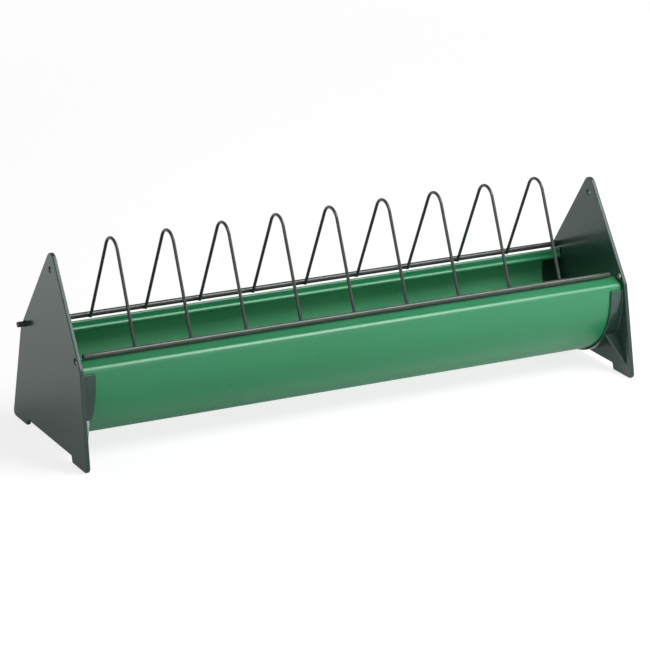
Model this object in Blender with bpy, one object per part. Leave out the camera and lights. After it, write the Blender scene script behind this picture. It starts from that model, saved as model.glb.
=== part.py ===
# Linear trough feeder for poultry: a trough between two end plates, with a hinged wire grille over it.
# Units are metres. X runs along the trough, -Y is the front, +Z is up, and the feet stand on Z = 0.

import bmesh
import bpy
from math import asin, atan2, cos, pi, sin, sqrt, tan
from mathutils import Matrix, Vector

MM = 0.001

# Whole object
LENGTH = 750 * MM            # over the outer faces of the end plates, at the height of the hinge
FIT_GAP = 0.3 * MM           # air between neighbouring pieces

# End plates
PLATE_THICKNESS = 5 * MM
PLATE_LEAN = 0.02            # inward run of a plate for each unit of height
PLATE_EDGE_ROUND = 1.1 * MM
PEAK_HEIGHT = 245.6 * MM     # where the sloping sides would meet, before the peak is rounded
PEAK_RADIUS = 11 * MM
KNEE_HALF_WIDTH = 89 * MM
KNEE_HEIGHT = 120.5 * MM
KNEE_RADIUS = 6 * MM
FOOT_OUTER = 112.5 * MM
FOOT_INNER = 68.5 * MM
FOOT_OUTER_RADIUS = 6 * MM
FOOT_INNER_RADIUS = 3 * MM
ARCH_HALF_WIDTH = 66.2 * MM  # raised bottom edge between the two feet
ARCH_HEIGHT = 8 * MM
ARCH_RADIUS = 1.5 * MM
HANG_HOLE_HEIGHT = 217.5 * MM
HANG_HOLE_RADIUS = 3.6 * MM
HINGE_HOLE_RADIUS = 4 * MM
HOLE_RIM = 0.5 * MM           # chamfer round both mouths of a hole

# Trough, an extruded channel with a half-round bottom and inturned lips
TROUGH_RADIUS = 83.7 * MM
TROUGH_CENTRE_HEIGHT = 97.7 * MM
TROUGH_WALL = 2.2 * MM
TROUGH_END_PLAY = 0.6 * MM   # at each end, to the face of the plate
SHOULDER_RADIUS = 8 * MM
SHOULDER_HEIGHT = 112.6 * MM
LIP_RISE = 21.5 * pi / 180   # the lip climbs inward at this angle
LIP_CORNER_Y = 66 * MM       # centre of the tight turn at the lip's inner edge
BEAD_RADIUS = 3 * MM
BEAD_HEIGHT = 114.2 * MM
COVE_RADIUS = 4 * MM         # hollow that leads from the lip's return onto the bead
QUARTER_STEPS = 24           # straight steps in a quarter turn, the same on trough and collars

# Collars on each plate, which hold the end of the trough between them
COLLAR_REACH = 353.5 * MM    # distance from mid length to the free edge of a collar
COLLAR_WALL = 2.5 * MM
OUTER_COLLAR_TOP = 112.5 * MM
INNER_COLLAR_TOP = 110.5 * MM

# Gusset webs from the outer collar to each foot
WEB_THICKNESS = 2.5 * MM
WEB_REACH = 355.5 * MM
WEB_TOP = Vector((0, 71.3 * MM, 50.9 * MM))
WEB_TOE = Vector((0, 101.5 * MM, 12 * MM))
WEB_EDGE_ROUND = 0.6 * MM

# Wire grille
ROD_RADIUS = 3.4 * MM
HINGE_Y = 75.5 * MM
HINGE_Z = 127.6 * MM
HINGE_ROD_LENGTH = 770 * MM
FRONT_ROD_LENGTH = 723 * MM
FRONT_ROD_Y = -67 * MM
FRONT_ROD_Z = 128.5 * MM
ROD_END_CHAMFER = 0.7 * MM
HOOP_COUNT = 9
HOOP_PITCH = 73 * MM
HOOP_RADIUS = 2 * MM
HOOP_PEAK_HEIGHT = 244 * MM  # centre line of the wire at the top of the bend
HOOP_BEND_RADIUS = 18 * MM
HOOP_REAR_TAIL = -1 * MM     # wire past the weld at the hinge rod; it stops short of its middle
HOOP_FRONT_TAIL = 1.2 * MM   # wire past the weld at the front rod

# Joints, from the sizes above
PLATE_X = LENGTH / 2
PLATE_ROOT_X = PLATE_X - 1.5 * MM  # inside the plate at the height of every collar and web


def clear_scene():
    for obj in list(bpy.data.objects):
        bpy.data.objects.remove(obj, do_unlink=True)


def material(name, colour, roughness, metallic=0.0):
    made = bpy.data.materials.new(name)
    made.use_nodes = True
    made.diffuse_color = (*colour, 1)
    shader = made.node_tree.nodes["Principled BSDF"]
    shader.inputs["Base Color"].default_value = (*colour, 1)
    shader.inputs["Roughness"].default_value = roughness
    shader.inputs["Metallic"].default_value = metallic
    return made


def add_object(name, mesh, finish, parent=None):
    obj = bpy.data.objects.new(name, mesh)
    bpy.context.scene.collection.objects.link(obj)
    if finish:
        mesh.materials.append(finish)
    if parent:
        obj.parent = parent
    return obj


def make_cutter(obj):
    obj.hide_render = True
    obj.display_type = "WIRE"
    return obj


def arc(centre_y, centre_z, radius, start, end, steps):
    """Points on a circle in the YZ plane, from one angle to another."""
    angles = [start + (end - start) * i / steps for i in range(steps + 1)]
    return [(centre_y + radius * cos(a), centre_z + radius * sin(a)) for a in angles]


def rounded_outline(corners, steps=5):
    """Turns corners (y, z, radius) into an outline whose corners are arcs."""
    points = []
    for i, (y, z, radius) in enumerate(corners):
        here = Vector((y, z))
        before = (Vector(corners[i - 1][:2]) - here).normalized()
        after = (Vector(corners[(i + 1) % len(corners)][:2]) - here).normalized()
        half = before.angle(after) / 2
        centre = here + (before + after).normalized() * (radius / sin(half))
        first = here + before * (radius / tan(half)) - centre
        last = here + after * (radius / tan(half)) - centre
        turn = first.angle_signed(last)
        for step in range(steps + 1):
            point = centre + Matrix.Rotation(-turn * step / steps, 2) @ first
            points.append((point.x, point.y))
    return points


def prism(outline, x_start, x_end):
    """A closed solid: a YZ outline pushed along X."""
    shape = bmesh.new()
    ring = [shape.verts.new((x_start, y, z)) for y, z in outline]
    face = shape.faces.new(ring)
    pushed = bmesh.ops.extrude_face_region(shape, geom=[face])
    verts = [item for item in pushed["geom"] if isinstance(item, bmesh.types.BMVert)]
    bmesh.ops.translate(shape, verts=verts, vec=(x_end - x_start, 0, 0))
    bmesh.ops.recalc_face_normals(shape, faces=shape.faces)
    return shape


def to_mesh(shape, name, smooth_angle=35 * pi / 180):
    mesh = bpy.data.meshes.new(name)
    shape.to_mesh(mesh)
    shape.free()
    mesh.shade_smooth()
    mesh.set_sharp_from_angle(angle=smooth_angle)
    return mesh


def mirrored(half):
    """Closes an outline whose half, from the bottom out and back, lies at Y >= 0."""
    return half + [(-y, z) for y, z in reversed(half) if y > MM / 100]


# Trough

def trough_outline():
    """The channel's section: up the outside, round the lip and its bead, and down the inside."""
    middle = TROUGH_CENTRE_HEIGHT
    inner_radius = TROUGH_RADIUS - TROUGH_WALL
    slope = pi / 2 - LIP_RISE
    shoulder_y = TROUGH_RADIUS - SHOULDER_RADIUS
    # The lip leaves the shoulder on a tangent; its underside runs to the centre of the tight inner turn.
    corner_z = SHOULDER_HEIGHT + (SHOULDER_RADIUS - TROUGH_WALL) / cos(LIP_RISE)
    corner_z += (shoulder_y - LIP_CORNER_Y) * tan(LIP_RISE)
    # The bead hangs on the return, whose two faces lie half a wall to either side of it.
    bead_y = LIP_CORNER_Y - TROUGH_WALL / 2
    bead_open = asin(TROUGH_WALL / 2 / BEAD_RADIUS)
    # The cove touches the return's inner face and the bead.
    cove_run = TROUGH_WALL / 2 + COVE_RADIUS
    cove_rise = sqrt((BEAD_RADIUS + COVE_RADIUS) ** 2 - cove_run ** 2)
    tilt = atan2(cove_rise, cove_run)
    half = arc(0, middle, TROUGH_RADIUS, -pi / 2, 0, QUARTER_STEPS)
    half += arc(shoulder_y, SHOULDER_HEIGHT, SHOULDER_RADIUS, 0, slope, 8)
    half += arc(LIP_CORNER_Y, corner_z, TROUGH_WALL, slope, pi, 6)
    half += arc(bead_y - cove_run, BEAD_HEIGHT + cove_rise, COVE_RADIUS, 0, -tilt, 4)
    half += arc(bead_y, BEAD_HEIGHT, BEAD_RADIUS, pi - tilt, 5 * pi / 2 - bead_open, 12)[1:]
    half += [(LIP_CORNER_Y, corner_z)]
    half += arc(shoulder_y, SHOULDER_HEIGHT, SHOULDER_RADIUS - TROUGH_WALL, slope, 0, 6)
    half += arc(0, middle, inner_radius, 0, -pi / 2, QUARTER_STEPS)
    return mirrored(half)


def make_trough(finish):
    end = PLATE_X - PLATE_THICKNESS - TROUGH_END_PLAY
    shape = prism(trough_outline(), -end, end)
    return add_object("trough", to_mesh(shape, "trough"), finish)


# End plates

def plate_outline():
    right_side = [
        (0, PEAK_HEIGHT, PEAK_RADIUS),
        (KNEE_HALF_WIDTH, KNEE_HEIGHT, KNEE_RADIUS),
        (FOOT_OUTER, 0, FOOT_OUTER_RADIUS),
        (FOOT_INNER, 0, FOOT_INNER_RADIUS),
        (ARCH_HALF_WIDTH, ARCH_HEIGHT, ARCH_RADIUS),
    ]
    left_side = [(-y, z, radius) for y, z, radius in reversed(right_side[1:])]
    return rounded_outline(right_side + left_side)


def plate_blank(side):
    """The flat plate, with rounded edges, leaning inward without tilting its feet."""
    shape = prism(plate_outline(), PLATE_X - PLATE_THICKNESS, PLATE_X)
    rims = [edge for edge in shape.edges if abs(edge.verts[0].co.x - edge.verts[1].co.x) < MM / 100]
    bmesh.ops.bevel(
        shape, geom=rims, offset=PLATE_EDGE_ROUND, segments=2, profile=0.5, affect="EDGES", clamp_overlap=True
    )
    for vert in shape.verts:
        vert.co.x -= (vert.co.z - HINGE_Z) * PLATE_LEAN
        vert.co.x *= side
    bmesh.ops.recalc_face_normals(shape, faces=shape.faces)
    return shape


def collar_outline(radius, top):
    """A U-shaped band: radius is its outer one."""
    middle = TROUGH_CENTRE_HEIGHT
    half = arc(0, middle, radius, -pi / 2, 0, QUARTER_STEPS)
    half += [(radius, top - COLLAR_WALL / 4), (radius - COLLAR_WALL / 4, top)]
    half += [(radius - COLLAR_WALL * 3 / 4, top), (radius - COLLAR_WALL, top - COLLAR_WALL / 4)]
    half += arc(0, middle, radius - COLLAR_WALL, 0, -pi / 2, QUARTER_STEPS)
    return mirrored(half)


def make_collar(name, side, radius, top):
    ends = sorted((side * COLLAR_REACH, side * PLATE_ROOT_X))
    return add_object(name, to_mesh(prism(collar_outline(radius, top), *ends), name), None)


def make_web(name, side, front):
    """A triangular web in the plane that holds X and the line from the collar down to the foot."""
    across = (WEB_TOE - WEB_TOP).cross(Vector((1, 0, 0))).normalized() * WEB_THICKNESS / 2
    corners = [
        Vector((WEB_REACH, 0, 0)) + WEB_TOP,
        Vector((PLATE_ROOT_X, 0, 0)) + WEB_TOP,
        Vector((PLATE_ROOT_X, 0, 0)) + WEB_TOE,
    ]
    shape = bmesh.new()
    near = [shape.verts.new(corner - across) for corner in corners]
    far = [shape.verts.new(corner + across) for corner in corners]
    shape.faces.new(near)
    shape.faces.new(reversed(far))
    for i in range(3):
        shape.faces.new((near[i - 1], near[i], far[i], far[i - 1]))
    free_edge = ({near[0], near[2]}, {far[0], far[2]})
    rims = [edge for edge in shape.edges if set(edge.verts) in free_edge]
    bmesh.ops.bevel(shape, geom=rims, offset=WEB_EDGE_ROUND, segments=2, profile=0.5, affect="EDGES")
    for vert in shape.verts:
        vert.co.x *= side
        vert.co.y *= front
    bmesh.ops.recalc_face_normals(shape, faces=shape.faces)
    return add_object(name, to_mesh(shape, name), None)


def turned(rings, sides):
    """A closed solid turned about X from (x, radius) rings."""
    shape = bmesh.new()
    angles = [2 * pi * i / sides for i in range(sides)]
    loops = [[shape.verts.new((x, radius * cos(a), radius * sin(a))) for a in angles] for x, radius in rings]
    for first, second in zip(loops, loops[1:]):
        for i in range(sides):
            shape.faces.new((first[i - 1], first[i], second[i], second[i - 1]))
    shape.faces.new(loops[0])
    shape.faces.new(loops[-1])
    bmesh.ops.recalc_face_normals(shape, faces=shape.faces)
    return shape


def make_hole(name, side, y, z, radius):
    """A cutter for a round hole through the plate, flared at both mouths."""
    outer = PLATE_X - (z - HINGE_Z) * PLATE_LEAN
    inner = outer - PLATE_THICKNESS
    wide = radius + 2 * HOLE_RIM
    rings = (
        (inner - HOLE_RIM, wide),
        (inner + HOLE_RIM, radius),
        (outer - HOLE_RIM, radius),
        (outer + HOLE_RIM, wide),
    )
    shape = turned([(x * side, reach) for x, reach in rings], 28)
    bmesh.ops.translate(shape, verts=shape.verts, vec=(0, y, z))
    return add_object(name, to_mesh(shape, name), None)


def boolean(obj, tool, operation):
    modifier = obj.modifiers.new(f"{operation.lower()} {tool.name}", "BOOLEAN")
    modifier.operation = operation
    modifier.solver = "EXACT"
    modifier.object = make_cutter(tool)


def make_end_plate(name, side, finish):
    plate = add_object(name, to_mesh(plate_blank(side), name), finish)
    outer_radius = TROUGH_RADIUS + FIT_GAP + COLLAR_WALL
    inner_radius = TROUGH_RADIUS - TROUGH_WALL - FIT_GAP
    boolean(plate, make_collar(f"{name}_outer_collar", side, outer_radius, OUTER_COLLAR_TOP), "UNION")
    boolean(plate, make_collar(f"{name}_inner_collar", side, inner_radius, INNER_COLLAR_TOP), "UNION")
    for word, front in (("front", -1), ("rear", 1)):
        boolean(plate, make_web(f"{name}_{word}_web", side, front), "UNION")
    holes = (
        ("hang", 0, HANG_HOLE_HEIGHT, HANG_HOLE_RADIUS),
        ("front", -HINGE_Y, HINGE_Z, HINGE_HOLE_RADIUS),
        ("hinge", HINGE_Y, HINGE_Z, HINGE_HOLE_RADIUS),
    )
    for word, y, z, radius in holes:
        boolean(plate, make_hole(f"{name}_{word}_hole", side, y, z, radius), "DIFFERENCE")
    return plate


# Wire grille

def make_rod(name, length, centre, finish, parent, sides=24):
    """A straight round rod along X with chamfered ends, turned ring by ring."""
    rings = (
        (-length / 2, ROD_RADIUS - ROD_END_CHAMFER),
        (-length / 2 + ROD_END_CHAMFER, ROD_RADIUS),
        (length / 2 - ROD_END_CHAMFER, ROD_RADIUS),
        (length / 2, ROD_RADIUS - ROD_END_CHAMFER),
    )
    shape = turned(rings, sides)
    rod = add_object(name, to_mesh(shape, name), finish, parent)
    rod.location = centre - parent.location
    return rod


def leg_direction(rod_y, rod_z, peak_y, peak_z, offset):
    """Direction of a leg that starts at the peak and passes inside the rod, and its length up to the rod."""
    run = Vector((rod_y - peak_y, rod_z - peak_z))
    turn = asin(offset / run.length)
    if rod_y > peak_y:
        turn = -turn
    return Matrix.Rotation(turn, 2) @ run.normalized(), sqrt(run.length_squared - offset ** 2)


def hoop_route():
    """Centre line of one hoop in the YZ plane: up the rear leg, round the bend and down the front leg."""
    offset = ROD_RADIUS + HOOP_RADIUS + FIT_GAP
    peak_y = (HINGE_Y + FRONT_ROD_Y) / 2
    # The legs' lines meet above the bend; a few passes settle how far.
    sharp_z = HOOP_PEAK_HEIGHT
    for _ in range(20):
        rear, rear_length = leg_direction(HINGE_Y, HINGE_Z, peak_y, sharp_z, offset)
        front, front_length = leg_direction(FRONT_ROD_Y, FRONT_ROD_Z, peak_y, sharp_z, offset)
        half = rear.angle(front) / 2
        sharp_z = HOOP_PEAK_HEIGHT + HOOP_BEND_RADIUS * (1 / sin(half) - 1)
    sharp = Vector((peak_y, sharp_z))
    inward = (rear + front).normalized()
    centre = sharp + inward * HOOP_BEND_RADIUS / sin(half)
    start = sharp + rear * HOOP_BEND_RADIUS / tan(half) - centre
    sweep = start.angle_signed(sharp + front * HOOP_BEND_RADIUS / tan(half) - centre)
    steps = 10
    bend = [centre + Matrix.Rotation(-sweep * i / steps, 2) @ start for i in range(steps + 1)]
    rear_end = sharp + rear * (rear_length + HOOP_REAR_TAIL)
    front_end = sharp + front * (front_length + HOOP_FRONT_TAIL)
    return [rear_end, *bend, front_end]


def make_hoops(finish, parent):
    """Hoops along the grille, each its own object on one shared wire."""
    wire = bpy.data.curves.new("feeding_hoop", "CURVE")
    wire.dimensions = "3D"
    wire.bevel_depth = HOOP_RADIUS
    wire.bevel_resolution = 4
    wire.use_fill_caps = True
    route = hoop_route()
    spline = wire.splines.new("POLY")
    spline.points.add(len(route) - 1)
    for point, (y, z) in zip(spline.points, route):
        point.co = (0, y - HINGE_Y, z - HINGE_Z, 1)
    for number in range(HOOP_COUNT):
        hoop = add_object(f"feeding_hoop_{number + 1}", wire, finish if number == 0 else None, parent)
        hoop.location.x = (number - (HOOP_COUNT - 1) / 2) * HOOP_PITCH


def make_grille(finish):
    """Everything that swings, on an empty that sits on the hinge axis."""
    hinge = bpy.data.objects.new("grille_hinge", None)
    bpy.context.scene.collection.objects.link(hinge)
    hinge.location = (0, HINGE_Y, HINGE_Z)
    make_rod("hinge_rod", HINGE_ROD_LENGTH, Vector((0, HINGE_Y, HINGE_Z)), finish, hinge)
    make_rod("front_rod", FRONT_ROD_LENGTH, Vector((0, FRONT_ROD_Y, FRONT_ROD_Z)), finish, hinge)
    make_hoops(finish, hinge)


def main():
    clear_scene()
    green_pvc = material("green trough plastic", (0.045, 0.26, 0.105), 0.3)
    dark_plastic = material("dark green end plate plastic", (0.028, 0.042, 0.034), 0.22)
    coated_wire = material("dark green coated steel wire", (0.05, 0.065, 0.058), 0.3, 0.3)
    make_trough(green_pvc)
    make_end_plate("left_end_plate", -1, dark_plastic)
    make_end_plate("right_end_plate", 1, dark_plastic)
    make_grille(coated_wire)


main()
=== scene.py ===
from math import asin, atan2, cos, pi, radians, sin, sqrt, tan

import bmesh
import bpy
from mathutils import Matrix, Vector


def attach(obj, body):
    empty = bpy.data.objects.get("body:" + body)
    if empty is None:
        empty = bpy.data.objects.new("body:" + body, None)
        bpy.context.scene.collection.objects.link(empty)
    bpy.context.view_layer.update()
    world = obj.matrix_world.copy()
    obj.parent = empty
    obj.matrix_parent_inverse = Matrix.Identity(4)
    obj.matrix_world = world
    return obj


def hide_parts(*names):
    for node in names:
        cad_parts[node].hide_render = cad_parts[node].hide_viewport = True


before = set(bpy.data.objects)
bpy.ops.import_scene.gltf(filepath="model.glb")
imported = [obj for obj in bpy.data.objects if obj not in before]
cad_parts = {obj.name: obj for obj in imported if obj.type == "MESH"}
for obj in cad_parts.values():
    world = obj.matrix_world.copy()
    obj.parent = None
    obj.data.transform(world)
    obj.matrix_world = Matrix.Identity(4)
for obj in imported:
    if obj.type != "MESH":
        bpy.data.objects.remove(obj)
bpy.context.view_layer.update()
scene = bpy.context.scene
mm = 0.001
fitGap = 0.3 * mm  # air between pieces that touch on the real feeder
smoothAngle = radians(35)  # sharper edges than this stay crisp
white = (1, 1, 1, 1)


# Node helpers

def setSocket(tree, socket, value):
    if isinstance(value, bpy.types.NodeSocket):
        tree.links.new(value, socket)
    else:
        socket.default_value = value


def addNode(tree, kind, inputs=None, **settings):
    node = tree.nodes.new(kind)
    for name, value in settings.items():
        setattr(node, name, value)
    for name, value in (inputs or {}).items():
        setSocket(tree, node.inputs[name], value)
    return node


def addMath(tree, operation, first, second=None, clamp=False):
    node = addNode(tree, "ShaderNodeMath", {0: first}, operation=operation, use_clamp=clamp)
    if second is not None:
        setSocket(tree, node.inputs[1], second)
    return node.outputs[0]


def times(tree, first, second, clamp=False):
    return addMath(tree, "MULTIPLY", first, second, clamp)


def plus(tree, total, *others):
    for value in others:
        total = addMath(tree, "ADD", total, value)
    return total


def mixColour(tree, factor, first, second):
    # a Mix node set to colours keeps its factor and its two colours in sockets 0, 6 and 7
    return addNode(tree, "ShaderNodeMix", {0: factor, 6: first, 7: second}, data_type="RGBA").outputs[2]


def ramp(tree, value, low, high, span=(0.0, 1.0)):
    # runs from low to high as the value crosses the span, and stays level beyond it
    ends = {"From Min": span[0], "From Max": span[1], "To Min": low, "To Max": high}
    return addNode(tree, "ShaderNodeMapRange", {"Value": value, **ends}).outputs[0]


def addNoise(tree, place, scale, detail):
    noise = addNode(tree, "ShaderNodeTexNoise", {"Vector": place, "Scale": scale, "Detail": detail})
    return noise.outputs["Fac"]


def stretchPlace(tree, place, scale):
    return addNode(tree, "ShaderNodeMapping", {"Vector": place, "Scale": scale}).outputs[0]


def objectPlace(tree):
    return addNode(tree, "ShaderNodeTexCoord").outputs["Object"]


def surfaceNormal(tree):
    return addNode(tree, "ShaderNodeNewGeometry").outputs["Normal"]


def takeAxis(tree, vector, axis):
    return addNode(tree, "ShaderNodeSeparateXYZ", {"Vector": vector}).outputs[axis]


def takeLength(tree, vector):
    return addNode(tree, "ShaderNodeVectorMath", {0: vector}, operation="LENGTH").outputs["Value"]


def newGroup(name, inputs, outputs):
    tree = bpy.data.node_groups.new(name, "ShaderNodeTree")
    for label, default in inputs.items():
        socket = tree.interface.new_socket(label, in_out="INPUT", socket_type="NodeSocketFloat")
        socket.default_value = default
    for label in outputs:
        tree.interface.new_socket(label, in_out="OUTPUT", socket_type="NodeSocketFloat")
    return tree, tree.nodes.new("NodeGroupInput").outputs, tree.nodes.new("NodeGroupOutput").inputs


def useGroup(tree, group, values):
    node = tree.nodes.new("ShaderNodeGroup")
    node.node_tree = group
    for name, value in values.items():
        node.inputs[name].default_value = value
    return node.outputs


def startMaterial(name):
    made = bpy.data.materials.new(name)
    made.use_nodes = True
    return made, made.node_tree, made.node_tree.nodes["Principled BSDF"]


def addBump(tree, shader, height, depth):
    bump = addNode(tree, "ShaderNodeBump", {"Height": height, "Strength": 1.0, "Distance": depth})
    tree.links.new(bump.outputs[0], shader.inputs["Normal"])


# Shared surface effects

mottleLook = {
    "cloudDetail": 4.0,
    "cloudSpan": (0.3, 0.7),
    "speckDetail": 2.0,
    "speckSpan": (0.35, 0.65),
}


def makeMottle():
    # slow cloudy variation of pigment, plus a fine speckle
    look = mottleLook
    tree, given, out = newGroup("pigmentMottle", {"cloudScale": 9.0, "speckScale": 700.0}, ("cloud", "speck"))
    place = objectPlace(tree)
    cloud = addNoise(tree, place, given["cloudScale"], look["cloudDetail"])
    speck = addNoise(tree, place, given["speckScale"], look["speckDetail"])
    tree.links.new(ramp(tree, cloud, 0, 1, look["cloudSpan"]), out["cloud"])
    tree.links.new(ramp(tree, speck, 0, 1, look["speckSpan"]), out["speck"])
    return tree


scratchLook = {
    "strokes": ((0.35, (1, 34, 34)), (-0.8, (1, 22, 26)), (1.45, (1.5, 30, 24))),  # turn and stretch
    "tilt": (0.7, 1.0, 1.3),
    "lineDetail": 1.0,
    "lineSpan": (0.735, 0.775),
    "patchScale": 22.0,
    "patchDetail": 3.0,
}


def makeScratches():
    # short hairline scratches in three directions, broken up by a patchy mask
    look = scratchLook
    tree, given, out = newGroup("hairScratches", {"density": 0.5, "size": 90.0}, ("scratch",))
    place = objectPlace(tree)
    total = None
    for turn, stretch in look["strokes"]:
        spin = [turn * share for share in look["tilt"]]
        spun = addNode(tree, "ShaderNodeMapping", {"Vector": place, "Rotation": spin, "Scale": stretch})
        strokes = addNoise(tree, spun.outputs[0], given["size"], look["lineDetail"])
        line = ramp(tree, strokes, 0, 1, look["lineSpan"])
        total = line if total is None else addMath(tree, "MAXIMUM", total, line)
    patch = addNoise(tree, place, look["patchScale"], look["patchDetail"])
    kept = addMath(tree, "LESS_THAN", patch, given["density"])
    tree.links.new(times(tree, total, kept), out["scratch"])
    return tree


dustLook = {
    "facingSpan": (0.2, 0.95),
    "patchScale": 16.0,
    "patchDetail": 5.0,
    "patchSpan": (0.35, 0.7),
    "thinPatch": 0.2,
    "grainDetail": 2.0,
    "grainSpan": (0.4, 0.6),
    "thinGrain": 0.55,
}


def makeDust():
    # a thin film of meal dust on faces that look up, thicker in cloudy patches
    look = dustLook
    tree, given, out = newGroup("feedDust", {"amount": 0.2, "grain": 900.0}, ("film",))
    place = objectPlace(tree)
    facing = ramp(tree, takeAxis(tree, surfaceNormal(tree), "Z"), 0, 1, look["facingSpan"])
    patch = addNoise(tree, place, look["patchScale"], look["patchDetail"])
    grains = addNoise(tree, place, given["grain"], look["grainDetail"])
    cloudy = ramp(tree, patch, look["thinPatch"], 1, look["patchSpan"])
    grainy = ramp(tree, grains, look["thinGrain"], 1, look["grainSpan"])
    film = times(tree, facing, times(tree, cloudy, grainy))
    tree.links.new(times(tree, film, given["amount"], clamp=True), out["film"])
    return tree


wearLook = {
    "bevelSamples": 6,
    "edgeSpan": (0.86, 0.985),
    "patchScale": 60.0,
    "patchDetail": 4.0,
    "patchSpan": (0.42, 0.62),
}


def makeEdgeWear():
    # where a rounded edge turns away from its neighbours, rubbed in uneven patches
    look = wearLook
    tree, given, out = newGroup("rubbedEdges", {"width": 0.0015, "strength": 0.5}, ("rub",))
    soft = addNode(tree, "ShaderNodeBevel", {"Radius": given["width"]}, samples=look["bevelSamples"])
    normals = {0: soft.outputs[0], 1: surfaceNormal(tree)}
    same = addNode(tree, "ShaderNodeVectorMath", normals, operation="DOT_PRODUCT")
    edge = ramp(tree, same.outputs["Value"], 1, 0, look["edgeSpan"])
    patch = addNoise(tree, objectPlace(tree), look["patchScale"], look["patchDetail"])
    broken = ramp(tree, patch, 0, 1, look["patchSpan"])
    rub = times(tree, times(tree, edge, broken), given["strength"], clamp=True)
    tree.links.new(rub, out["rub"])
    return tree


pigmentMottle = makeMottle()
hairScratches = makeScratches()
feedDust = makeDust()
rubbedEdges = makeEdgeWear()
print("surface effects made")


# Mesh helpers

def faceOutward(shape):
    # each closed island in turn: one winding throughout, turned over if it encloses negative space
    bmesh.ops.recalc_face_normals(shape, faces=shape.faces)
    waiting = set(shape.faces)
    while waiting:
        island = {waiting.pop()}
        frontier = list(island)
        while frontier:
            near = {face for corner in frontier.pop().verts for face in corner.link_faces} & waiting
            waiting -= near
            island |= near
            frontier.extend(near)
        space = 0.0
        for face in island:
            spots = [vert.co for vert in face.verts]
            space += sum(spots[0].dot(a.cross(b)) for a, b in zip(spots[1:], spots[2:]))
        if space < 0:
            bmesh.ops.reverse_faces(shape, faces=list(island))


def addPiece(name, shape, material, body, replaced=()):
    mesh = bpy.data.meshes.new(name)
    faceOutward(shape)
    shape.to_mesh(mesh)
    shape.free()
    mesh.shade_smooth()
    mesh.set_sharp_from_angle(angle=smoothAngle)
    mesh.materials.append(material)
    piece = bpy.data.objects.new(name, mesh)
    scene.collection.objects.link(piece)
    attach(piece, body)
    if replaced:
        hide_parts(*replaced)
    return piece


def arcPoints(centreY, centreZ, radius, start, end, steps):
    angles = [start + (end - start) * i / steps for i in range(steps + 1)]
    return [(centreY + radius * cos(a), centreZ + radius * sin(a)) for a in angles]


def quarterTurns(steps):
    return [pi / 2 * i / steps for i in range(steps + 1)]


def addRing(shape, spots):
    return [shape.verts.new(spot) for spot in spots]


def joinRings(shape, rings):
    # skins the rings one after another and closes both ends
    for first, second in zip(rings, rings[1:]):
        for i in range(len(first)):
            j = (i + 1) % len(first)
            shape.faces.new((first[i], first[j], second[j], second[i]))
    for ring in (rings[0], rings[-1]):
        shape.faces.new(ring)


# Trough

channel = {
    "radius": 83.7 * mm,
    "centreHeight": 97.7 * mm,
    "wall": 2.2 * mm,
    "halfLength": 369.4 * mm,
    "shoulderRadius": 8 * mm,
    "shoulderHeight": 112.6 * mm,
    "lipRise": radians(21.5),
    "lipCornerY": 66 * mm,
    "beadRadius": 3 * mm,
    "beadHeight": 114.2 * mm,
    "coveRadius": 4 * mm,
    "endBreak": 0.25 * mm,
    "stations": 7,
    "stationPitch": 0.1,
    "wallSteps": 48,
    "shoulderSteps": 16,
    "innerShoulderSteps": 12,
    "cornerSteps": 10,
    "coveSteps": 10,
    "beadSteps": 26,
    "onAxis": 0.01 * mm,
}

troughFinish = {
    "green": (0.021, 0.242, 0.098, 1),
    "deepGreen": (0.014, 0.212, 0.082, 1),
    "paintedInnerLight": (0.090, 0.430, 0.205, 1),
    "scratched": (0.16, 0.38, 0.24, 1),
    "dusty": (0.30, 0.36, 0.27, 1),
    "mottle": {"cloudScale": 7.0, "speckScale": 900.0},
    "scratches": {"density": 0.47, "size": 70.0},
    "dust": {"amount": 0.05, "grain": 1400.0},
    "streakStretch": (0.6, 60, 60),
    "streakScale": 2.2,
    "streakDetail": 5.0,
    "lineStretch": (2, 900, 900),
    "lineScale": 1.0,
    "lineDetail": 2.0,
    "scratchTint": 0.16,
    "innerLightMargin": (0.3 * mm, 1.2 * mm),
    "innerLightTop": 111.5 * mm,
    "innerLightFade": 3 * mm,
    "innerLightPatches": (0.75, 1.0),
    "gloss": 0.55,
    "roughness": 0.29,
    "cloudRoughness": (-0.03, 0.04),
    "scratchRoughness": 0.2,
    "dustRoughness": 1.2,
    "innerWallRoughness": 0.2,
    "streakHeight": 2.0,
    "scratchDepth": 0.6,
    "bumpDepth": 0.02 * mm,
}


def paintedInnerLightMask(tree, place, cloud):
    # the wall inside the channel, below the lips, broken into patches: where a paler, brighter green is
    # painted as light in the lips' shade
    look = troughFinish
    centred = {"Location": (0, 0, -channel["centreHeight"]), "Scale": (0, 1, 1)}
    fromAxis = addNode(tree, "ShaderNodeMapping", {"Vector": place, **centred}).outputs[0]
    inner = channel["radius"] - channel["wall"]
    near, far = (inner + margin for margin in look["innerLightMargin"])
    inside = ramp(tree, takeLength(tree, fromAxis), 1, 0, (near, far))
    top = look["innerLightTop"]
    below = ramp(tree, takeAxis(tree, place, "Z"), 1, 0, (top - look["innerLightFade"], top))
    return times(tree, times(tree, inside, below), ramp(tree, cloud, *look["innerLightPatches"]))


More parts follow.
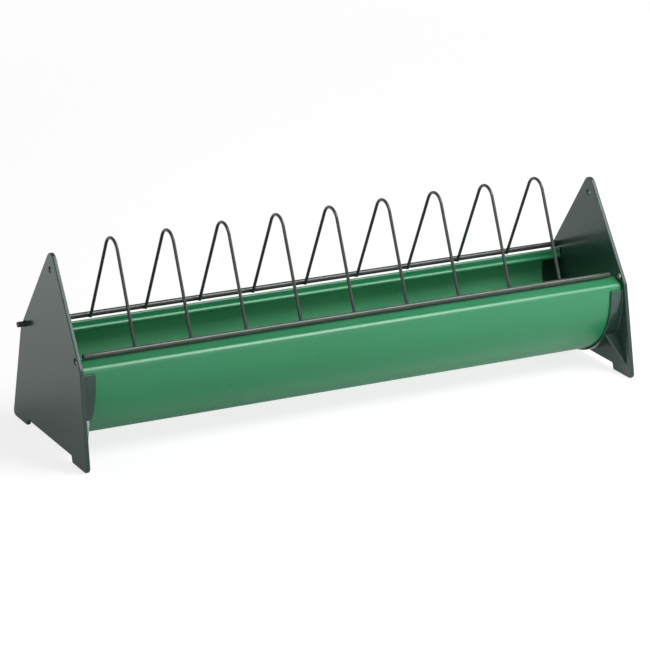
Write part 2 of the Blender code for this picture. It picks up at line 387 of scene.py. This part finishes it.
def makeTroughMaterial():
    # extruded plastic: pigment streaks and faint drawing lines run the length of the channel
    look = troughFinish
    made, tree, shader = startMaterial("greenExtrudedPlastic")
    place = objectPlace(tree)
    along = stretchPlace(tree, place, look["streakStretch"])
    streaks = addNoise(tree, along, look["streakScale"], look["streakDetail"])
    fine = stretchPlace(tree, place, look["lineStretch"])
    lines = addNoise(tree, fine, look["lineScale"], look["lineDetail"])
    cloud = useGroup(tree, pigmentMottle, look["mottle"])["cloud"]
    scratch = useGroup(tree, hairScratches, look["scratches"])["scratch"]
    film = useGroup(tree, feedDust, look["dust"])["film"]
    innerLightMask = paintedInnerLightMask(tree, place, cloud)
    shade = times(tree, plus(tree, streaks, cloud), 0.5)
    colour = mixColour(tree, shade, look["deepGreen"], look["green"])
    colour = mixColour(tree, times(tree, scratch, look["scratchTint"]), colour, look["scratched"])
    # painted light: the inside wall below the lips is made paler and brighter green than its shade would give
    colour = mixColour(tree, innerLightMask, colour, look["paintedInnerLight"])
    colour = mixColour(tree, film, colour, look["dusty"])
    tree.links.new(colour, shader.inputs["Base Color"])
    shader.inputs["Specular IOR Level"].default_value = look["gloss"]
    rough = plus(
        tree,
        ramp(tree, cloud, *look["cloudRoughness"]),
        look["roughness"],
        times(tree, scratch, look["scratchRoughness"]),
        times(tree, film, look["dustRoughness"]),
        times(tree, innerLightMask, look["innerWallRoughness"]),
    )
    tree.links.new(rough, shader.inputs["Roughness"])
    ridges = plus(tree, lines, times(tree, streaks, look["streakHeight"]))
    ridges = addMath(tree, "SUBTRACT", ridges, times(tree, scratch, look["scratchDepth"]))
    addBump(tree, shader, ridges, look["bumpDepth"])
    return made


def channelOutline():
    # half the section: outer wall, shoulder, lip corner, cove, bead and back inside, then its mirror
    c = channel
    slope = pi / 2 - c["lipRise"]
    shoulderY = c["radius"] - c["shoulderRadius"]
    innerShoulder = c["shoulderRadius"] - c["wall"]
    cornerZ = c["shoulderHeight"] + innerShoulder / cos(c["lipRise"])
    cornerZ += (shoulderY - c["lipCornerY"]) * tan(c["lipRise"])
    beadY = c["lipCornerY"] - c["wall"] / 2
    beadOpen = asin(c["wall"] / 2 / c["beadRadius"])
    coveRun = c["wall"] / 2 + c["coveRadius"]
    coveRise = sqrt((c["beadRadius"] + c["coveRadius"]) ** 2 - coveRun ** 2)
    tilt = atan2(coveRise, coveRun)
    beadEnd = 5 * pi / 2 - beadOpen
    half = arcPoints(0, c["centreHeight"], c["radius"], -pi / 2, 0, c["wallSteps"])
    half += arcPoints(shoulderY, c["shoulderHeight"], c["shoulderRadius"], 0, slope, c["shoulderSteps"])
    half += arcPoints(c["lipCornerY"], cornerZ, c["wall"], slope, pi, c["cornerSteps"])
    coveCentre = (beadY - coveRun, c["beadHeight"] + coveRise)
    half += arcPoints(*coveCentre, c["coveRadius"], 0, -tilt, c["coveSteps"])
    half += arcPoints(beadY, c["beadHeight"], c["beadRadius"], pi - tilt, beadEnd, c["beadSteps"])[1:]
    half += [(c["lipCornerY"], cornerZ)]
    half += arcPoints(shoulderY, c["shoulderHeight"], innerShoulder, slope, 0, c["innerShoulderSteps"])
    half += arcPoints(0, c["centreHeight"], c["radius"] - c["wall"], 0, -pi / 2, c["wallSteps"])
    return half + [(-y, z) for y, z in reversed(half) if y > c["onAxis"]]


def shrinkOutline(outline, inset):
    shrunk = []
    for i, spot in enumerate(outline):
        tangent = Vector(outline[(i + 1) % len(outline)]) - Vector(outline[i - 1])
        inward = Vector((-tangent.y, tangent.x)).normalized()
        shrunk.append(Vector(spot) + inward * inset)
    return shrunk


def makeTrough(material):
    # one section along the whole length, its two cut ends broken slightly
    shape = bmesh.new()
    outline = channelOutline()
    broken = shrinkOutline(outline, channel["endBreak"])
    end = channel["halfLength"]
    edge = end - channel["endBreak"]
    pitch = channel["stationPitch"]
    first = -pitch * (channel["stations"] - 1) / 2
    between = [first + pitch * i for i in range(channel["stations"])]
    rings = [addRing(shape, [(-end, y, z) for y, z in broken])]
    rings += [addRing(shape, [(x, y, z) for y, z in outline]) for x in (-edge, *between, edge)]
    rings += [addRing(shape, [(end, y, z) for y, z in broken])]
    joinRings(shape, rings)
    addPiece("greenTrough", shape, material, "stand", ["trough"])


makeTrough(makeTroughMaterial())
print("trough made")


# End plates

plate = {
    "corners": (  # y, z and radius in millimetres, from the peak down the rear, which the front mirrors
        (0, 245.6, 11),
        (89, 120.5, 6),
        (112.5, 0, 6.45),
        (68.5, 0, 3),
        (66.2, 8, 1.5),
    ),
    "cornerSteps": 10,
    "halfLength": 375 * mm,
    "thickness": 5 * mm,
    "lean": 0.02,
    "edgeRound": 1.1 * mm,
    "edgeSteps": 3,
    "hingeY": 75.5 * mm,
    "hingeHeight": 127.6 * mm,
    "hingeHoleRadius": 4 * mm,
    "hangHole": 217.5 * mm,
    "hangHoleRadius": 3.6 * mm,
    "holeSides": 36,
    "mergeReach": 0.005 * mm,
}

collar = {
    "reach": 353.5 * mm,
    "wall": 2.5 * mm,
    "outerTop": 112.5 * mm,
    "innerTop": 110.5 * mm,
    "rootFillet": 0.8 * mm,
    "rootSink": 0.6 * mm,
    "nose": 0.7 * mm,
    "bottomSteps": 40,
    "sideSteps": 4,
    "endSteps": 4,
    "roundSteps": 5,
}

web = {
    "thickness": 2.5 * mm,
    "reach": 355.5 * mm,
    "topY": 71.3 * mm,
    "topZ": 50.9 * mm,
    "toeY": 101.5 * mm,
    "toeZ": 12 * mm,
    "rootSink": 1 * mm,
    "nose": 0.6 * mm,
    "roundSteps": 4,
}

plateFinish = {
    "dark": (0.018, 0.042, 0.033, 1),
    "lifted": (0.024, 0.051, 0.040, 1),
    "rubbed": (0.06, 0.09, 0.078, 1),
    # painted shade: the rims are darkened towards this colour
    "rim": (0.008, 0.018, 0.015, 1),
    "dusty": (0.3, 0.3, 0.25, 1),
    "glint": (0.83, 1.0, 0.94, 1),
    "mottle": {"cloudScale": 11.0, "speckScale": 1100.0},
    "scratches": {"density": 0.5, "size": 85.0},
    "wear": {"width": 0.0010, "strength": 0.30},
    "dust": {"amount": 0.16, "grain": 1500.0},
    "peelScale": 420.0,
    "waveScale": 26.0,
    "bumpDetail": 2.0,
    "scratchTint": 0.22,
    "rimShadeStrength": 0.8,
    "rimMargin": (0.2 * mm, 0.8 * mm),
    "rimFacing": (0.4, 0.85),
    "gloss": 0.68,
    "roughness": 0.2,
    "cloudRoughness": (-0.03, 0.05),
    "scratchRoughness": 0.25,
    "rubbedRoughness": 0.3,
    "rimRoughness": 0.2,
    "waveHeight": 4.0,
    "scratchDepth": 0.5,
    "bumpDepth": 0.04 * mm,
}


def innerFace(z):
    return plate["halfLength"] - plate["thickness"] - (z - plate["hingeHeight"]) * plate["lean"]


def rimMask(tree, place):
    # whole on the rim round a plate and on the walls of its holes, nothing on its faces and collars
    look = plateFinish
    outward = addMath(tree, "ABSOLUTE", takeAxis(tree, place, "X"))
    outward = plus(tree, outward, times(tree, takeAxis(tree, place, "Z"), plate["lean"]))
    near, far = (innerFace(0) + margin for margin in look["rimMargin"])
    beyond = ramp(tree, outward, 0, 1, (near, far))
    sideways = addMath(tree, "ABSOLUTE", takeAxis(tree, surfaceNormal(tree), "X"))
    return times(tree, beyond, ramp(tree, sideways, 1, 0, look["rimFacing"]))


def makePlateMaterial():
    # moulded plastic: orange peel, faint flow clouds, scuffs, rims painted darker as shade, and other edges
    # rubbed paler
    look = plateFinish
    made, tree, shader = startMaterial("darkMouldedPlastic")
    place = objectPlace(tree)
    peel = addNoise(tree, place, look["peelScale"], look["bumpDetail"])
    waves = addNoise(tree, place, look["waveScale"], look["bumpDetail"])
    cloud = useGroup(tree, pigmentMottle, look["mottle"])["cloud"]
    scratch = useGroup(tree, hairScratches, look["scratches"])["scratch"]
    rub = useGroup(tree, rubbedEdges, look["wear"])["rub"]
    film = useGroup(tree, feedDust, look["dust"])["film"]
    rim = rimMask(tree, place)
    colour = mixColour(tree, cloud, look["dark"], look["lifted"])
    colour = mixColour(tree, times(tree, scratch, look["scratchTint"]), colour, look["rubbed"])
    colour = mixColour(tree, rub, colour, look["rubbed"])
    colour = mixColour(tree, film, colour, look["dusty"])
    # painted shade: the rims are darkened, standing in for shade, though they are the same plastic as the
    # faces
    colour = mixColour(tree, times(tree, rim, look["rimShadeStrength"]), colour, look["rim"])
    tree.links.new(colour, shader.inputs["Base Color"])
    shader.inputs["Specular IOR Level"].default_value = look["gloss"]
    shader.inputs["Specular Tint"].default_value = look["glint"]
    rough = plus(
        tree,
        ramp(tree, cloud, *look["cloudRoughness"]),
        look["roughness"],
        times(tree, scratch, look["scratchRoughness"]),
        times(tree, rub, look["rubbedRoughness"]),
        times(tree, rim, look["rimRoughness"]),
    )
    tree.links.new(rough, shader.inputs["Roughness"])
    skin = plus(tree, peel, times(tree, waves, look["waveHeight"]))
    skin = addMath(tree, "SUBTRACT", skin, times(tree, scratch, look["scratchDepth"]))
    addBump(tree, shader, skin, look["bumpDepth"])
    return made


def roundedOutline(corners, steps):
    points = []
    for i, (y, z, radius) in enumerate(corners):
        here = Vector((y, z))
        before = (Vector(corners[i - 1][:2]) - here).normalized()
        after = (Vector(corners[(i + 1) % len(corners)][:2]) - here).normalized()
        half = before.angle(after) / 2
        centre = here + (before + after).normalized() * (radius / sin(half))
        first = here + before * (radius / tan(half)) - centre
        last = here + after * (radius / tan(half)) - centre
        turn = first.angle_signed(last)
        for step in range(steps + 1):
            points.append(centre + Matrix.Rotation(-turn * step / steps, 2) @ first)
    return points


def holeOutline(y, z, radius):
    sides = plate["holeSides"]
    return arcPoints(y, z, radius, 0, 2 * pi * (sides - 1) / sides, sides - 1)


def plateShape(side):
    # a filled outline curve with its three holes, whose bevel rounds every rim
    right = [(y * mm, z * mm, radius * mm) for y, z, radius in plate["corners"]]
    left = [(-y, z, radius) for y, z, radius in reversed(right[1:])]
    loops = [[(p.x, p.y) for p in roundedOutline(right + left, plate["cornerSteps"])]]
    loops.append(holeOutline(0, plate["hangHole"], plate["hangHoleRadius"]))
    for y in (-plate["hingeY"], plate["hingeY"]):
        loops.append(holeOutline(y, plate["hingeHeight"], plate["hingeHoleRadius"]))
    outline = bpy.data.curves.new("plateOutline", "CURVE")
    outline.dimensions = "2D"
    outline.fill_mode = "BOTH"
    outline.bevel_depth = plate["edgeRound"]
    outline.bevel_resolution = plate["edgeSteps"]
    outline.offset = -plate["edgeRound"]
    outline.extrude = plate["thickness"] / 2 - plate["edgeRound"]
    for loop in loops:
        spline = outline.splines.new("POLY")
        spline.points.add(len(loop) - 1)
        spline.use_cyclic_u = True
        for point, (y, z) in zip(spline.points, loop):
            point.co = (y, z, 0, 1)
    holder = bpy.data.objects.new("plateOutline", outline)
    scene.collection.objects.link(holder)
    flat = bpy.data.meshes.new_from_object(holder.evaluated_get(bpy.context.evaluated_depsgraph_get()))
    bpy.data.objects.remove(holder)
    shape = bmesh.new()
    shape.from_mesh(flat)
    bmesh.ops.remove_doubles(shape, verts=shape.verts, dist=plate["mergeReach"])
    for vert in shape.verts:
        y, z, depth = vert.co
        x = plate["halfLength"] - plate["thickness"] / 2 + depth
        x -= (z - plate["hingeHeight"]) * plate["lean"]
        vert.co = (x * side, y, z)
    return shape


def collarPath(radius, top):
    # points and outward directions of a U, from its front end round the bottom to its rear end
    middle = channel["centreHeight"]
    sideSteps = collar["sideSteps"]
    normals = [Vector((sin(a), -cos(a))) for a in quarterTurns(collar["bottomSteps"])]
    points = [(Vector((radius * n.x, middle + radius * n.y)), n) for n in normals]
    rise = [middle + (top - middle) * i / sideSteps for i in range(1, sideSteps + 1)]
    points += [(Vector((radius, z)), Vector((1, 0))) for z in rise]
    return [(Vector((-p.x, p.y)), Vector((-n.x, n.y))) for p, n in reversed(points[1:])] + points


def collarRing(shape, side, point, normal, squeeze=0.0):
    # the band's section at one point of its path, from root fillet to rounded free edge and back
    root = innerFace(point.y)
    fillet = collar["rootFillet"]
    nose = collar["nose"]
    half = collar["wall"] / 2 - squeeze
    free = collar["reach"] + squeeze
    turns = quarterTurns(collar["roundSteps"])
    profile = [(half + fillet, root + collar["rootSink"])]
    profile += [(half + fillet * (1 - sin(a)), root - fillet * (1 - cos(a))) for a in turns]
    profile += [(half - nose * (1 - cos(a)), free + nose * (1 - sin(a))) for a in turns]
    ring = []
    for t, x in profile + [(-t, x) for t, x in reversed(profile)]:
        spot = point + normal * t
        ring.append(shape.verts.new((x * side, spot.x, spot.y)))
    return ring


def addCollar(shape, side, radius, top):
    # the band is swept along its U, and both ends of the U are rounded
    nose = collar["nose"]
    path = collarPath(radius, top - nose)
    rings = [collarRing(shape, side, point, normal) for point, normal in path]
    first, last = path[0], path[-1]
    for angle in quarterTurns(collar["endSteps"])[1:]:
        squeeze = nose * (1 - cos(angle))
        lift = Vector((0, 1)) * nose * sin(angle)
        rings.insert(0, collarRing(shape, side, first[0] + lift, first[1], squeeze))
        rings.append(collarRing(shape, side, last[0] + lift, last[1], squeeze))
    joinRings(shape, rings)


def addWeb(shape, side, front):
    # triangular web from the outer collar to the foot, its sloping edge rounded
    top = Vector((web["reach"], web["topY"], web["topZ"]))
    toe = Vector((innerFace(web["toeZ"]) + web["rootSink"], web["toeY"], web["toeZ"]))
    back = Vector((innerFace(web["topZ"]) + web["rootSink"], web["topY"], web["topZ"]))
    across = (toe - back).cross(Vector((1, 0, 0))).normalized()
    outward = (top - toe).cross(across).normalized()
    if outward.x > 0:
        outward = -outward
    half = web["thickness"] / 2
    nose = web["nose"]
    profile = [(-half + nose * (1 - cos(a)), nose * sin(a)) for a in quarterTurns(web["roundSteps"])]
    profile += [(-t, d) for t, d in reversed(profile)]
    high, low = (
        addRing(shape, [spot + across * t + outward * (d - nose) for t, d in profile]) for spot in (top, toe)
    )
    rear = addRing(shape, [back - across * half, back + across * half])
    for i in range(len(profile) - 1):
        shape.faces.new((high[i], high[i + 1], low[i + 1], low[i]))
    shape.faces.new((high[0], low[0], rear[0]))
    shape.faces.new((high[-1], low[-1], rear[1]))
    shape.faces.new((*high, rear[1], rear[0]))
    shape.faces.new((*low, rear[1], rear[0]))
    for vert in high + low + rear:
        vert.co = (vert.co.x * side, vert.co.y * front, vert.co.z)


def makeEndPlate(name, side, node, material):
    shape = plateShape(side)
    outer = channel["radius"] + fitGap + collar["wall"] / 2
    inner = channel["radius"] - channel["wall"] - fitGap - collar["wall"] / 2
    addCollar(shape, side, outer, collar["outerTop"])
    addCollar(shape, side, inner, collar["innerTop"])
    for front in (-1, 1):
        addWeb(shape, side, front)
    piece = addPiece(name, shape, material, "stand", [node])
    # keeps the large faces flat beside their rounded rims
    piece.modifiers.new("flats", "WEIGHTED_NORMAL").keep_sharp = True


darkPlastic = makePlateMaterial()
makeEndPlate("leftEndPlate", -1, "left_end_plate", darkPlastic)
makeEndPlate("rightEndPlate", 1, "right_end_plate", darkPlastic)
print("end plates made")


# Wire grille

grille = {
    "rodRadius": 3.4 * mm,
    "rodSides": 40,
    "rodStations": 24,
    "rodEndRound": 0.7 * mm,
    "hingeRodLength": 770 * mm,
    "frontRodLength": 723 * mm,
    "frontRodY": -67 * mm,
    "frontRodZ": 128.5 * mm,
    "hoopCount": 9,
    "hoopPitch": 73 * mm,
    "hoopRadius": 2 * mm,
    "hoopSides": 24,
    "hoopEndRound": 0.35 * mm,
    "peakHeight": 243.99 * mm,
    "bendRadius": 18 * mm,
    "bendSteps": 24,
    "legSteps": 12,
    "settleRounds": 20,
    "rearTail": -1 * mm,
    "frontTail": 1.2 * mm,
    "endSteps": 5,
}

weld = {
    "halfLength": 2.7 * mm,
    "halfWidth": 1.75 * mm,
    "halfHeight": 0.95 * mm,
    "subdivisions": 3,
    "lumps": (0.07, 0.06),
    "lumpTurns": (3.1, 4.3, 2.2),
    "lumpShifts": (900, 500),  # radians for each metre along the rod
}

wireFinish = {
    "coat": (0.031, 0.038, 0.032, 1),
    "coatPale": (0.048, 0.056, 0.048, 1),
    "scratched": (0.1, 0.12, 0.11, 1),
    "steel": (0.20, 0.20, 0.19, 1),
    "mottle": {"cloudScale": 35.0, "speckScale": 1600.0},
    "scratches": {"density": 0.46, "size": 140.0},
    "lumpScale": 160.0,
    "lumpDetail": 3.0,
    "nickScale": 95.0,
    "nickDetail": 5.0,
    "nickSpan": (0.74, 0.78),
    "scratchTint": 0.3,
    "bareMetal": 0.85,
    "roughness": 0.24,
    "speckRoughness": (-0.03, 0.05),
    "bareRoughness": 0.15,
    "nickDepth": 0.5,
    "bumpDepth": 0.12 * mm,
    "weldBareness": 0.06,
}


def makeWireMaterial(name, bareness):
    # dipped coating on steel wire: slightly lumpy, nicked through to metal here and there
    look = wireFinish
    made, tree, shader = startMaterial(name)
    place = objectPlace(tree)
    lumps = addNoise(tree, place, look["lumpScale"], look["lumpDetail"])
    nicks = addNoise(tree, place, look["nickScale"], look["nickDetail"])
    mottle = useGroup(tree, pigmentMottle, look["mottle"])
    scratch = useGroup(tree, hairScratches, look["scratches"])["scratch"]
    bare = ramp(tree, nicks, 0, 1, [level - bareness for level in look["nickSpan"]])
    colour = mixColour(tree, mottle["cloud"], look["coat"], look["coatPale"])
    colour = mixColour(tree, times(tree, scratch, look["scratchTint"]), colour, look["scratched"])
    colour = mixColour(tree, bare, colour, look["steel"])
    tree.links.new(colour, shader.inputs["Base Color"])
    tree.links.new(times(tree, bare, look["bareMetal"]), shader.inputs["Metallic"])
    rough = plus(
        tree,
        ramp(tree, mottle["speck"], *look["speckRoughness"]),
        look["roughness"],
        times(tree, bare, look["bareRoughness"]),
    )
    tree.links.new(rough, shader.inputs["Roughness"])
    skin = addMath(tree, "SUBTRACT", lumps, times(tree, bare, look["nickDepth"]))
    addBump(tree, shader, skin, look["bumpDepth"])
    return made


def sweepRound(shape, path, radii, sides):
    # a round bar along points in one plane that holds X or lies square to it
    angles = [2 * pi * k / sides for k in range(sides)]
    rings = []
    for i, point in enumerate(path):
        before = path[max(i - 1, 0)]
        after = path[min(i + 1, len(path) - 1)]
        forward = (after - before).normalized()
        across = Vector((1, 0, 0)) if abs(forward.x) < 0.5 else Vector((0, 1, 0))
        other = forward.cross(across).normalized()
        rings.append(addRing(shape, [point + (across * cos(a) + other * sin(a)) * radii[i] for a in angles]))
    joinRings(shape, rings)


def softenEnds(path, radius, corner):
    # a bar's path and its radius at each point, with both cut ends rounded by the corner radius
    turns = quarterTurns(grille["endSteps"])[:-1]
    start, end = path[0], path[-1]
    ahead = (path[1] - start).normalized()
    behind = (path[-2] - end).normalized()
    first = [start + ahead * corner * (1 - cos(a)) for a in turns]
    last = [end + behind * corner * (1 - cos(a)) for a in turns]
    radii = [radius - corner * (1 - sin(a)) for a in turns]
    middle = [start + ahead * corner, *path[1:-1], end + behind * corner]
    return first + middle + last[::-1], radii + [radius] * len(middle) + radii[::-1]


def makeRod(name, length, y, z, node, material):
    stations = grille["rodStations"]
    path = [Vector((length * i / stations - length / 2, y, z)) for i in range(stations + 1)]
    path, radii = softenEnds(path, grille["rodRadius"], grille["rodEndRound"])
    shape = bmesh.new()
    sweepRound(shape, path, radii, grille["rodSides"])
    addPiece(name, shape, material, "grille", [node])


def hoopLeg(rodY, rodZ, peak, offset):
    # direction and length of a straight leg from the peak to where it is nearest the rod
    run = Vector((rodY, rodZ)) - peak
    turn = asin(offset / run.length)
    if rodY > peak.x:
        turn = -turn
    return Matrix.Rotation(turn, 2) @ run.normalized(), sqrt(run.length_squared - offset ** 2)


def hoopRoute():
    # the legs' directions and the height of the peak depend on each other, so they settle in rounds
    g = grille
    offset = g["rodRadius"] + g["hoopRadius"] + fitGap
    peak = Vector(((plate["hingeY"] + g["frontRodY"]) / 2, g["peakHeight"]))
    for _ in range(g["settleRounds"]):
        rear, rearLength = hoopLeg(plate["hingeY"], plate["hingeHeight"], peak, offset)
        front, frontLength = hoopLeg(g["frontRodY"], g["frontRodZ"], peak, offset)
        half = rear.angle(front) / 2
        peak.y = g["peakHeight"] + g["bendRadius"] * (1 / sin(half) - 1)
    centre = peak + (rear + front).normalized() * g["bendRadius"] / sin(half)
    start = peak + rear * g["bendRadius"] / tan(half) - centre
    sweep = start.angle_signed(peak + front * g["bendRadius"] / tan(half) - centre)
    steps = g["bendSteps"]
    bend = [centre + Matrix.Rotation(-sweep * i / steps, 2) @ start for i in range(steps + 1)]
    rearEnd = peak + rear * (rearLength + g["rearTail"])
    frontEnd = peak + front * (frontLength + g["frontTail"])
    legSteps = g["legSteps"]
    rearLeg = [rearEnd.lerp(bend[0], i / legSteps) for i in range(legSteps)]
    frontLeg = [bend[-1].lerp(frontEnd, i / legSteps) for i in range(1, legSteps + 1)]
    return rearLeg + bend + frontLeg, peak + rear * rearLength, peak + front * frontLength


def weldSwell(c, x):
    # two waves over the bead, shifted with its place so that no two beads are alike
    first, second = weld["lumps"]
    turnX, turnY, turnZ = weld["lumpTurns"]
    firstShift, secondShift = weld["lumpShifts"]
    swell = first * sin(turnX * c.x + x * firstShift)
    return 1 + swell + second * cos(turnY * c.y + c.z * turnZ + x * secondShift)


def addWeld(shape, x, rodCentre, wireCentre, along):
    # a small lumpy bead fills the seam on both sides of the crossing
    towards = (rodCentre - wireCentre).normalized()
    middle = wireCentre + towards * (grille["hoopRadius"] + fitGap / 2)
    for vert in bmesh.ops.create_icosphere(shape, subdivisions=weld["subdivisions"], radius=1.0)["verts"]:
        c = vert.co
        swell = weldSwell(c, x)
        spot = middle + along * (c.y * weld["halfWidth"] * swell)
        spot += towards * (c.z * weld["halfHeight"] * swell)
        vert.co = (x + c.x * weld["halfLength"] * swell, spot.x, spot.y)


def makeGrille():
    g = grille
    coatedWire = makeWireMaterial("coatedSteelWire", 0.0)
    weldMetal = makeWireMaterial("coatedWeld", wireFinish["weldBareness"])
    hinge = Vector((plate["hingeY"], plate["hingeHeight"]))
    rest = Vector((g["frontRodY"], g["frontRodZ"]))
    makeRod("hingeRod", g["hingeRodLength"], *hinge, "hinge_rod", coatedWire)
    makeRod("frontRod", g["frontRodLength"], *rest, "front_rod", coatedWire)
    route, weldRear, weldFront = hoopRoute()
    flat = [Vector((0, p.x, p.y)) for p in route]
    path, radii = softenEnds(flat, g["hoopRadius"], g["hoopEndRound"])
    crossings = (
        (hinge, weldRear, (route[1] - route[0]).normalized()),
        (rest, weldFront, (route[-2] - route[-1]).normalized()),
    )
    for number in range(g["hoopCount"]):
        x = (number - (g["hoopCount"] - 1) / 2) * g["hoopPitch"]
        shape = bmesh.new()
        sweepRound(shape, [p + Vector((x, 0, 0)) for p in path], radii, g["hoopSides"])
        node = f"feeding_hoop_{number + 1}"
        addPiece(f"wireHoop{number + 1}", shape, coatedWire, "grille", [node])
        shape = bmesh.new()
        for rodCentre, wireCentre, along in crossings:
            addWeld(shape, x, rodCentre, wireCentre, along)
        addPiece(f"hoopWelds{number + 1}", shape, weldMetal, "grille")


makeGrille()
print("grille made")


# Studio: camera, floor, backdrop and lamps

view = {
    "azimuth": -27.853,
    "elevation": 19.006,
    "roll": 0.761,
    "distance": 3.917418,
    "target": (-0.00813, 0, 0.094845),
    "focalPixels": 3177.103,
    "framePixels": 650,
    "sensorWidth": 36,
}


def makeCamera():
    azimuth, elevation, roll = (radians(view[k]) for k in ("azimuth", "elevation", "roll"))
    back = Vector((sin(azimuth) * cos(elevation), -cos(azimuth) * cos(elevation), sin(elevation)))
    right = (-back).cross(Vector((0, 0, 1))).normalized()
    up = back.cross(right)
    tiltedRight = right * cos(roll) + up * sin(roll)
    tiltedUp = up * cos(roll) - right * sin(roll)
    lens = bpy.data.cameras.new("photoCamera")
    lens.sensor_width = view["sensorWidth"]
    lens.lens = view["focalPixels"] / view["framePixels"] * view["sensorWidth"]
    camera = bpy.data.objects.new("photoCamera", lens)
    turn = Matrix((tiltedRight, tiltedUp, back)).transposed().to_4x4()
    camera.matrix_world = Matrix.Translation(Vector(view["target"]) + back * view["distance"]) @ turn
    scene.collection.objects.link(camera)
    scene.camera = camera


floorLook = {
    "halfWidth": 40,
    "drop": 0.3 * mm,
    "colour": (0.72, 0.72, 0.72, 1),
    "seenColour": (0.32, 0.32, 0.32, 1),
    "roughness": 0.9,
    "lift": (0.78, 0.88),
    "liftSpan": (0.4, 3.0),
    "gleam": (0.07, 0.80),
    "gleamSpan": (0.2, 1.2),
    "rightGleam": 0.20,
    "rightSpan": (-0.3, 0.2),
}


def makeFloor():
    # lifted to near white for the camera; in reflections it brightens with distance and to the right
    look = floorLook
    shape = bmesh.new()
    bmesh.ops.create_grid(shape, x_segments=1, y_segments=1, size=look["halfWidth"])
    bmesh.ops.translate(shape, verts=shape.verts, vec=(0, 0, -look["drop"]))
    mesh = bpy.data.meshes.new("paleFloor")
    shape.to_mesh(mesh)
    shape.free()
    made, tree, shader = startMaterial("paleFloor")
    ray = addNode(tree, "ShaderNodeLightPath").outputs
    seen = mixColour(tree, ray["Is Camera Ray"], look["colour"], look["seenColour"])
    tree.links.new(seen, shader.inputs["Base Color"])
    shader.inputs["Roughness"].default_value = look["roughness"]
    shader.inputs["Emission Color"].default_value = white
    place = objectPlace(tree)
    away = takeLength(tree, place)
    lift = ramp(tree, away, *look["lift"], look["liftSpan"])
    gleam = ramp(tree, away, *look["gleam"], look["gleamSpan"])
    rightward = takeAxis(tree, place, "X")
    gleam = plus(tree, gleam, ramp(tree, rightward, 0, look["rightGleam"], look["rightSpan"]))
    lift = times(tree, ray["Is Camera Ray"], lift)
    gleam = times(tree, ray["Is Glossy Ray"], gleam)
    tree.links.new(plus(tree, lift, gleam), shader.inputs["Emission Strength"])
    mesh.materials.append(made)
    floor = bpy.data.objects.new("paleFloor", mesh)
    scene.collection.objects.link(floor)


backdropLook = {
    "glow": (1.0, 0.06),
    "glowSpan": (0.0, 0.85),
    "mirroredSpan": (0.12, 0.5),
}


def makeBackdrop():
    # dims overhead as a light, and stays white for the camera and for low reflections
    look = backdropLook
    world = bpy.data.worlds.new("studio")
    scene.world = world
    world.use_nodes = True
    tree = world.node_tree
    ray = addNode(tree, "ShaderNodeLightPath").outputs
    upward = takeAxis(tree, addNode(tree, "ShaderNodeTexCoord").outputs["Generated"], "Z")
    light = tree.nodes["Background"]
    light.inputs["Color"].default_value = white
    tree.links.new(ramp(tree, upward, *look["glow"], look["glowSpan"]), light.inputs["Strength"])
    plain = addNode(tree, "ShaderNodeBackground", {"Color": white, "Strength": 1.0})
    mirrored = times(tree, ray["Is Glossy Ray"], ramp(tree, upward, 1, 0, look["mirroredSpan"]))
    seen = addMath(tree, "MAXIMUM", ray["Is Camera Ray"], mirrored)
    seen = addMath(tree, "MAXIMUM", seen, ray["Is Transmission Ray"])
    mix = addNode(tree, "ShaderNodeMixShader", {0: seen, 1: light.outputs[0], 2: plain.outputs[0]})
    tree.links.new(mix.outputs[0], tree.nodes["World Output"].inputs["Surface"])


lamps = {
    "keySoftbox": {
        "power": 18.0,
        "size": (1.04, 0.76),
        "place": (0.66, -0.66, 1.34),
        "aim": (0.66, -0.06, 0.1),
    },
    "keyRim": {
        "power": 20.0,
        "size": (1.3, 1.5),
        "place": (0.66, -0.66, 1.345),
        "aim": (0.66, -0.06, 0.105),
        "spread": False,
    },
    "rightFill": {
        "power": 15.0,
        "size": (1.8, 0.9),
        "place": (1.2, -2.0, 0.28),
        "aim": (0, 0, 0.1),
        "mirrored": False,
    },
}


def makeLamp(name, power, size, place, aim, mirrored=True, spread=True):
    # mirrored lamps show in reflections, and spread lamps light matt surfaces
    lamp = bpy.data.lights.new(name, "AREA")
    lamp.shape = "RECTANGLE"
    lamp.size, lamp.size_y = size
    lamp.energy = power
    holder = bpy.data.objects.new(name, lamp)
    holder.location = place
    holder.rotation_euler = (Vector(aim) - Vector(place)).to_track_quat("-Z", "Y").to_euler()
    holder.visible_glossy = mirrored
    holder.visible_diffuse = spread
    scene.collection.objects.link(holder)


makeCamera()
makeFloor()
makeBackdrop()
for lampName, lampSettings in lamps.items():
    makeLamp(lampName, **lampSettings)
scene.view_settings.view_transform = "Standard"
print("studio made")
